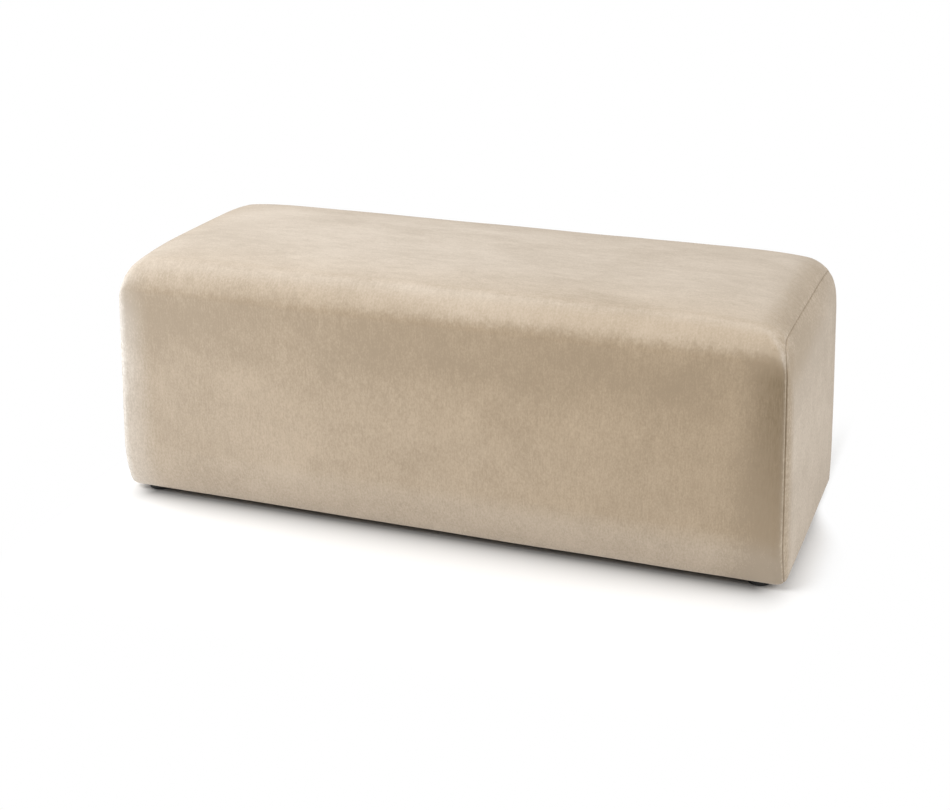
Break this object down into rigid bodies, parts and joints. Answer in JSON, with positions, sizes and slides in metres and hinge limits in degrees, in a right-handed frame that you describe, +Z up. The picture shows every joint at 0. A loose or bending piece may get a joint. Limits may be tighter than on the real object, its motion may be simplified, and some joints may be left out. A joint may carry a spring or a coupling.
{
  "type": "bench",
  "caption": "Long box-shaped upholstered bench in sand velvet on four low black glides, with its plywood frame, webbing, foam and wadding inside.",
  "frame": {"origin": "on the floor, under the middle of the bench", "axes": "+X along the bench, front facing -Y, +Z up"},
  "size_m": [1.0984, 0.435, 0.42],
  "materials": {
    "velvet": "short-pile velvet, soft sheen",
    "wadding": "polyester fibre, matt",
    "foam": "open-cell polyurethane foam, matt",
    "webbing": "woven elastic webbing, matt",
    "lining": "non-woven cloth, matt",
    "dust_cloth": "non-woven cloth, matt",
    "plywood": "raw plywood",
    "pine": "raw planed pine",
    "zinc_steel": "bright zinc",
    "black_plastic": "moulded, satin"
  },
  "bodies": {
    "root": {"cover_main": "velvet", "cover_end_left": "velvet", "cover_end_right": "velvet", "wadding_wrap": "wadding", "wadding_end_left": "wadding", "wadding_end_right": "wadding", "seat_foam": "foam", "front_foam": "foam", "back_foam": "foam", "end_foam_left": "foam", "end_foam_right": "foam", "deck_lining": "lining", "cross_webbing": "webbing", "long_webbing": "webbing", "webbing_staples": "zinc_steel", "front_panel": "plywood", "back_panel": "plywood", "end_panel_left": "plywood", "end_panel_right": "plywood", "divider_left": "plywood", "divider_right": "plywood", "top_rail_front": "pine", "top_rail_back": "pine", "top_rail_left": "pine", "top_rail_right": "pine", "low_rail_front": "pine", "low_rail_back": "pine", "low_rail_left": "pine", "low_rail_right": "pine", "foot_block_front_left": "pine", "foot_block_front_right": "pine", "foot_block_back_left": "pine", "foot_block_back_right": "pine", "frame_screws": "zinc_steel", "cover_staples": "zinc_steel", "dust_cover": "dust_cloth", "dust_cover_staples": "zinc_steel", "foot_front_left": "black_plastic", "foot_front_right": "black_plastic", "foot_back_left": "black_plastic", "foot_back_right": "black_plastic", "foot_screws": "zinc_steel"}
  },
  "joints": []
}
